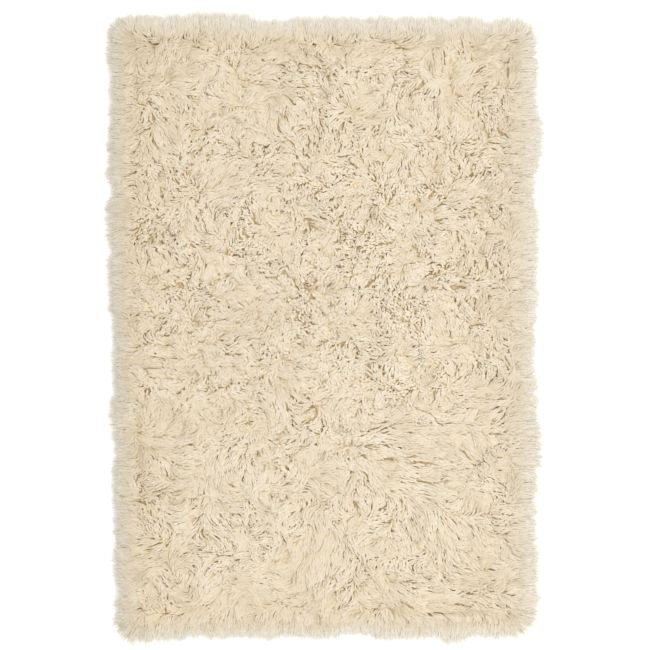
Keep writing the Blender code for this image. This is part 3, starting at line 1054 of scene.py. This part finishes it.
def wool_material(settings):
    """Cream wool with painted light and shade: painted shade makes it darker and warmer at the root, in low
    locks and along lower edges, painted floor bounce makes it paler and greyer at the rim, the tint paints
    it lighter and darker from place to place, and each lock is a little different.
    """
    name = "cream_wool"
    if name in bpy.data.materials:
        return bpy.data.materials[name]
    material, nodes, links, shader = new_finish(name)
    lengthwise = (settings.root_shade_colour, settings.cream_colour, settings.tip_colour)
    colour = ramp(nodes, links, read_attribute(nodes, "along"), tuple(zip(ALONG_STOPS, lengthwise)))
    # Low locks and locks in slits take the root colour as painted shade; the rim and the field's border take
    # the pale colour as painted floor bounce
    for label, cover in (("depth", settings.root_shade_colour), ("pale", settings.floor_bounce_colour)):
        colour = mixed(nodes, links, "MIX", read_attribute(nodes, label), colour, (*cover, 1.0))
    edge_stops = ((0.0, settings.edge_shade), (EDGE_STOP, WHITE))
    for label, stops in (("tint_and_shading", TINT_STOPS), ("ridge", edge_stops)):
        shade = ramp(nodes, links, read_attribute(nodes, label), stops)
        colour = mixed(nodes, links, "MULTIPLY", 1.0, colour, shade)
    fibres = nodes.new("ShaderNodeGroup")
    fibres.node_tree = fibre_group()
    streak = ramp(nodes, links, fibres.outputs["Fibres"], FIBRE_STOPS)
    colour = mixed(nodes, links, "MULTIPLY", 1.0, colour, streak)
    share = ramp(nodes, links, read_attribute(nodes, "thin"), THIN_STOPS)
    colour = mixed(nodes, links, "MIX", share, colour, (*settings.thin_colour, 1.0))
    links.new(colour, shader.inputs["Base Color"])
    add_bump(nodes, links, shader, fibres.outputs["Fibres"], strength=0.4, distance=0.0010)
    set_sockets(shader, {
        "Roughness": 0.9,
        "Specular IOR Level": 0.02,
        "Sheen Weight": 0.15,
        "Sheen Tint": (0.85, 0.62, 0.36, 1.0),
        "Sheen Roughness": 0.5,
    })
    return material


def undercoat_material(settings):
    """The dense lower wool, painted darker and warmer than the locks as painted shade for the gaps between
    them.
    """
    material, nodes, links, shader = new_finish("undercoat_shade_wool")
    place = nodes.new("ShaderNodeTexCoord")
    noise = nodes.new("ShaderNodeTexNoise")
    set_sockets(noise, {"Scale": 160.0, "Detail": 3.0})
    links.new(place.outputs["Object"], noise.inputs["Vector"])
    dark = tuple(settings.undercoat_shade_colour)
    light = tuple(channel * UNDERCOAT_LIGHTER for channel in dark)
    colour = ramp(nodes, links, noise.outputs["Fac"], ((0.35, dark), (0.65, light)))
    links.new(colour, shader.inputs["Base Color"])
    add_bump(nodes, links, shader, noise.outputs["Fac"], strength=0.8, distance=0.003)
    set_sockets(shader, {"Roughness": 0.95, "Specular IOR Level": 0.1})
    return material


def woven_material():
    """The plain weave of the ground, which the pile hides."""
    material, nodes, links, shader = new_finish("woven_wool")
    weave = nodes.new("ShaderNodeTexBrick")
    place = nodes.new("ShaderNodeTexCoord")
    links.new(place.outputs["Object"], weave.inputs["Vector"])
    set_sockets(weave, {
        "Scale": 60.0,
        "Color1": (0.55, 0.42, 0.27, 1.0),
        "Color2": (0.50, 0.38, 0.24, 1.0),
        "Mortar": (0.30, 0.21, 0.12, 1.0),
    })
    links.new(weave.outputs["Color"], shader.inputs["Base Color"])
    set_sockets(shader, {"Roughness": 0.95})
    return material


def place_piece(name, mesh, material):
    """A mesh as a piece of the rug that rides on its body and takes the given finish."""
    piece = bpy.data.objects.new(name, mesh)
    bpy.context.scene.collection.objects.link(piece)
    mesh.materials.append(material)
    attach(piece, BODY)
    return piece


def split_locks(locks, order, parts):
    """The locks cut into a number of parts, in an order along the rug."""
    cuts = np.array_split(order, parts)
    return [{key: values[chosen] for key, values in locks.items()} for chosen in cuts]


def sheet_points(corners, steps_x, steps_y):
    """A grid of flat places between four corners."""
    u, v = np.meshgrid(np.linspace(0, 1, steps_x + 1), np.linspace(0, 1, steps_y + 1))
    u, v = u.ravel()[:, None], v.ravel()[:, None]
    far = corners[0] * (1 - u) + corners[3] * u
    near = corners[1] * (1 - u) + corners[2] * u
    return near * (1 - v) + far * v


def rounded(flat, corners, radius):
    """Flat places with those near each of four corners drawn in, so that square corners become round."""
    flat = flat.copy()
    for i, corner in enumerate(corners):
        ways = unit(np.stack([corners[i - 1] - corner, corners[(i + 1) % 4] - corner]))
        local = radius - (flat - corner) @ np.linalg.inv(ways)
        near = local.min(axis=1) > 0
        p = local[near]
        flat[near] += (p - unit(p) * p.max(axis=1, keepdims=True)) @ ways
    return flat


def grid_slab(name, top, low, steps_x, steps_y):
    """A closed mesh between two grids of points with the same steps."""
    size = (steps_x + 1) * (steps_y + 1)
    faces = []
    for j in range(steps_y):
        for i in range(steps_x):
            a = j * (steps_x + 1) + i
            b, c, d = a + 1, a + steps_x + 2, a + steps_x + 1
            faces.append((a, b, c, d))
            faces.append((d + size, c + size, b + size, a + size))
    border = list(range(steps_x + 1))
    border += [j * (steps_x + 1) + steps_x for j in range(1, steps_y + 1)]
    border += [steps_y * (steps_x + 1) + i for i in range(steps_x - 1, -1, -1)]
    border += [j * (steps_x + 1) for j in range(steps_y - 1, 0, -1)]
    for a, b in zip(border, border[1:] + border[:1]):
        faces.append((b, a, a + size, b + size))
    mesh = bpy.data.meshes.new(name)
    mesh.from_pydata([tuple(p) for p in np.concatenate([top, low])], [], faces)
    mesh.shade_smooth()
    return mesh


def undercoat_mesh(settings, rug):
    """The dense lower wool: a closed mesh whose lumpy top falls to the floor past the ground's edge."""
    corners = GROUND_CORNERS + np.sign(GROUND_CORNERS) * settings.skirt
    flat = rounded(sheet_points(corners, *UNDERCOAT_STEPS), corners, UNDERCOAT_CORNER)
    depth = edge_depths(flat).min(axis=1)
    fall = smooth_step((depth + settings.skirt) / (settings.skirt + UNDERCOAT_FALL))
    inner = np.maximum(rug.heights(flat) - settings.undercoat_depth, UNDERCOAT_INNER) * fall
    lumps = smooth_noise(flat, *LUMPS) * LUMP_HEIGHT * fall
    top = np.column_stack([flat, np.maximum(inner + lumps, UNDERCOAT_LEAST)])
    low = np.column_stack([flat, np.full(len(flat), UNDERCOAT_LOW)])
    return grid_slab("undercoat_pile", top, low, *UNDERCOAT_STEPS)


class RugSettings(PropertyGroup):
    """Sizes and colours that a user would change."""

    seed: IntProperty(name="Seed", description="Number that settles every random choice", default=5)
    lock_length: FloatProperty(
        name="Lock length", description="Length of the free part of a lock", default=0.050, unit="LENGTH")
    lock_width: FloatProperty(
        name="Lock width", description="Width of a field lock at its middle", default=0.0065, unit="LENGTH")
    flatness: FloatProperty(
        name="Lock flatness", description="A lock's thickness as a share of its width", default=0.12)
    lock_pitch: FloatProperty(
        name="Lock pitch", description="Distance between neighbouring locks", default=0.0075, unit="LENGTH")
    tuft_pitch: FloatProperty(
        name="Tuft pitch", description="Distance between neighbouring tufts", default=0.040, unit="LENGTH")
    gather: FloatProperty(
        name="Gather", description="How far a tuft's locks are drawn together at root and tip", default=0.25)
    parting: FloatProperty(
        name="Parting", description="How far a tuft's locks are drawn together all along", default=0.03)
    short_share: FloatProperty(
        name="Short share", description="Share of short locks where the pile is tightest", default=0.5)
    low_share: FloatProperty(
        name="Low share", description="Share of the locks between tufts that lie low", default=0.14)
    slits: IntProperty(name="Slits", description="Number of slits left open between the locks", default=3000)
    slit_width: FloatProperty(
        name="Slit width", description="Half the width of the widest slit", default=0.0014, unit="LENGTH")
    low_step: FloatProperty(
        name="Low step", description="How far low locks lie below others", default=0.0040, unit="LENGTH")
    tuft_step: FloatProperty(
        name="Tuft step", description="How far tufts differ in height", default=0.0010, unit="LENGTH")
    lock_step: FloatProperty(
        name="Lock step", description="How far locks differ in height", default=0.0004, unit="LENGTH")
    tuft_dome: FloatProperty(
        name="Tuft dome", description="How much lower a tuft's sides lie", default=0.0028, unit="LENGTH")
    crimp: FloatProperty(
        name="Crimp", description="How far a lock's waves swing to each side", default=0.0019, unit="LENGTH")
    undercoat_depth: FloatProperty(
        name="Undercoat depth", description="Depth below the pile's top", default=0.013, unit="LENGTH")
    skirt: FloatProperty(
        name="Skirt", description="How far the undercoat passes the ground", default=0.020, unit="LENGTH")
    rim_locks: IntProperty(name="Rim locks", description="Number of locks round the rim", default=13000)
    rim_width: FloatProperty(
        name="Rim width", description="Width of a rim lock at its middle", default=0.0036, unit="LENGTH")
    rim_gather: FloatProperty(
        name="Rim gather", description="How far a rim tuft's tips are drawn together", default=0.30)
    rim_depth: FloatProperty(
        name="Rim depth", description="How far rim locks differ in height", default=0.004, unit="LENGTH")
    ground_thickness: FloatProperty(
        name="Ground thickness", description="Thickness of the woven ground", default=0.003, unit="LENGTH")
    # Painted shade: the undercoat is darker and warmer than the locks, for the gaps between them
    undercoat_shade_colour: FloatVectorProperty(
        name="Undercoat colour", description="Dense wool near the ground", subtype="COLOR",
        default=(0.71, 0.54, 0.30))
    # Painted shade: the wool deep among the locks, at their roots and in low locks and slits, darker and
    # warmer
    root_shade_colour: FloatVectorProperty(
        name="Root colour", description="Wool at a lock's root", subtype="COLOR",
        default=(0.873, 0.73, 0.478))
    edge_shade: FloatVectorProperty(
        name="Edge shade", description="What a lock's lower edges are darkened by", subtype="COLOR",
        default=(0.96, 0.905, 0.76))
    cream_colour: FloatVectorProperty(
        name="Cream colour", description="Wool at the middle of a lock", subtype="COLOR",
        default=(0.922, 0.824, 0.666))
    tip_colour: FloatVectorProperty(
        name="Tip colour", description="Wool at a lock's tip", subtype="COLOR",
        default=(0.936, 0.851, 0.719))
    # Painted light: the greyer, cooler cast of the white floor's bounce light on the rim and the field's
    # border
    floor_bounce_colour: FloatVectorProperty(
        name="Pale colour", description="Wool at the rim", subtype="COLOR", default=(0.861, 0.793, 0.690))
    thin_colour: FloatVectorProperty(
        name="Thin colour", description="Thin wool at the rim's tips, which lets the floor show",
        subtype="COLOR", default=(0.972, 0.937, 0.820))


class RUG_OT_weave_ground(Operator):
    """Weave the ground that the pile is knotted into"""

    bl_idname = "rug.weave_ground"
    bl_label = "Weave ground"

    def execute(self, context):
        settings = context.scene.shag_rug
        flat = rounded(sheet_points(GROUND_CORNERS, *GROUND_STEPS), GROUND_CORNERS, CORNER_RADIUS)
        top = np.column_stack([flat, np.full(len(flat), settings.ground_thickness)])
        low = np.column_stack([flat, np.full(len(flat), GROUND_LOW)])
        name = "woven_ground"
        ground = place_piece(name, grid_slab(name, top, low, *GROUND_STEPS), woven_material())
        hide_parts(RUG_NODE)
        return {"FINISHED"}


class RUG_OT_lay_undercoat(Operator):
    """Lay the dense lower wool between the ground and the locks"""

    bl_idname = "rug.lay_undercoat"
    bl_label = "Lay undercoat"

    def execute(self, context):
        settings = context.scene.shag_rug
        place_piece("undercoat_pile", undercoat_mesh(settings, PackedRug()), undercoat_material(settings))
        return {"FINISHED"}


class RUG_OT_knot_field(Operator):
    """Knot the locks of the rug's field"""

    bl_idname = "rug.knot_field"
    bl_label = "Knot field pile"

    def execute(self, context):
        settings = context.scene.shag_rug
        locks = field_locks(settings, PackedRug())
        count = len(locks["length"])
        order = np.argsort(locks["line"][:, 0, 1])
        parts = math.ceil(count / LOCKS_PER_PIECE)
        material = wool_material(settings)
        for i, part in enumerate(split_locks(locks, order, parts)):
            name = f"field_pile_{i + 1}"
            place_piece(name, lock_mesh(name, part), material)
        return {"FINISHED"}


class RUG_OT_knot_rim(Operator):
    """Knot the finer locks that fall over the rug's rim"""

    bl_idname = "rug.knot_rim"
    bl_label = "Knot rim pile"

    def execute(self, context):
        settings = context.scene.shag_rug
        locks = rim_locks(settings, PackedRug())
        material = wool_material(settings)
        order = np.arange(len(locks["length"]))
        for i, part in enumerate(split_locks(locks, order, RIM_PIECES)):
            name = f"rim_pile_{i + 1}"
            place_piece(name, lock_mesh(name, part), material)
        return {"FINISHED"}


def lay_floor(scene):
    """A wide pale floor that glows a little, so that it stays as white as in the photo."""
    mesh = bpy.data.meshes.new("floor")
    sides = ((-1, -1), (1, -1), (1, 1), (-1, 1))
    mesh.from_pydata([(x * FLOOR_HALF, y * FLOOR_HALF, 0) for x, y in sides], [], [(0, 1, 2, 3)])
    floor = bpy.data.objects.new("floor", mesh)
    scene.collection.objects.link(floor)
    material, _, _, shader = new_finish("pale_floor")
    set_sockets(shader, {
        "Base Color": FLOOR_COLOUR,
        "Roughness": 0.9,
        "Specular IOR Level": 0.0,
        "Emission Color": (*WHITE, 1.0),
        "Emission Strength": FLOOR_GLOW,
    })
    mesh.materials.append(material)


def light_studio(scene):
    """An even bright world, and two round lamps to the right, one far and one near."""
    world = bpy.data.worlds.new("studio")
    scene.world = world
    world.use_nodes = True
    set_sockets(world.node_tree.nodes["Background"], {"Color": (*DAYLIGHT, 1.0), "Strength": WORLD_STRENGTH})
    for name, side, energy in LAMPS:
        box = bpy.data.lights.new(name, "AREA")
        box.shape = "DISK"
        box.size = LAMP_SIZE
        box.energy = energy
        box.color = DAYLIGHT
        lamp = bpy.data.objects.new(name, box)
        x, y, z = LAMP_PLACE
        lamp.location = (x, y * side, z)
        lamp.rotation_euler = lamp.location.to_track_quat("Z", "Y").to_euler()
        scene.collection.objects.link(lamp)


def set_camera(scene):
    """A camera straight above that takes in what the photo does."""
    camera = bpy.data.cameras.new("camera")
    camera.lens = LENS_MM
    camera.sensor_width = SENSOR_MM
    camera.clip_end = CAMERA_FAR
    eye = bpy.data.objects.new("camera", camera)
    scene.collection.objects.link(eye)
    middle = PHOTO_SIDE_PX / 2
    eye.location = (
        (middle - RUG_MIDDLE_PX[0]) * METRES_PER_PX,
        (RUG_MIDDLE_PX[1] - middle) * METRES_PER_PX,
        PHOTO_SIDE_PX * METRES_PER_PX * camera.lens / camera.sensor_width,
    )
    scene.camera = eye


class RUG_OT_set_stage(Operator):
    """Set the floor, the lights and the camera"""

    bl_idname = "rug.set_stage"
    bl_label = "Set stage"

    def execute(self, context):
        scene = context.scene
        lay_floor(scene)
        light_studio(scene)
        set_camera(scene)
        scene.view_settings.view_transform = "Standard"
        scene.cycles.diffuse_bounces = LIGHT_BOUNCES
        return {"FINISHED"}


class RUG_PT_panel(Panel):
    """Lists the rug's settings and the steps that build it"""

    bl_idname = "RUG_PT_panel"
    bl_label = "Shag Rug"
    bl_space_type = "VIEW_3D"
    bl_region_type = "UI"
    bl_category = "Shag Rug"

    def draw(self, context):
        for name in RugSettings.__annotations__:
            self.layout.prop(context.scene.shag_rug, name)
        for step in STEPS:
            self.layout.operator(step.bl_idname)


STEPS = (RUG_OT_weave_ground, RUG_OT_lay_undercoat, RUG_OT_knot_field, RUG_OT_knot_rim, RUG_OT_set_stage)
CLASSES = (RugSettings, *STEPS, RUG_PT_panel)


def register():
    for cls in CLASSES:
        bpy.utils.register_class(cls)
    bpy.types.Scene.shag_rug = PointerProperty(type=RugSettings)


def unregister():
    del bpy.types.Scene.shag_rug
    for cls in reversed(CLASSES):
        bpy.utils.unregister_class(cls)


def main():
    register()
    bpy.ops.rug.weave_ground()
    bpy.ops.rug.lay_undercoat()
    bpy.ops.rug.knot_field()
    bpy.ops.rug.knot_rim()
    bpy.ops.rug.set_stage()


if __name__ == "__main__":
    main()
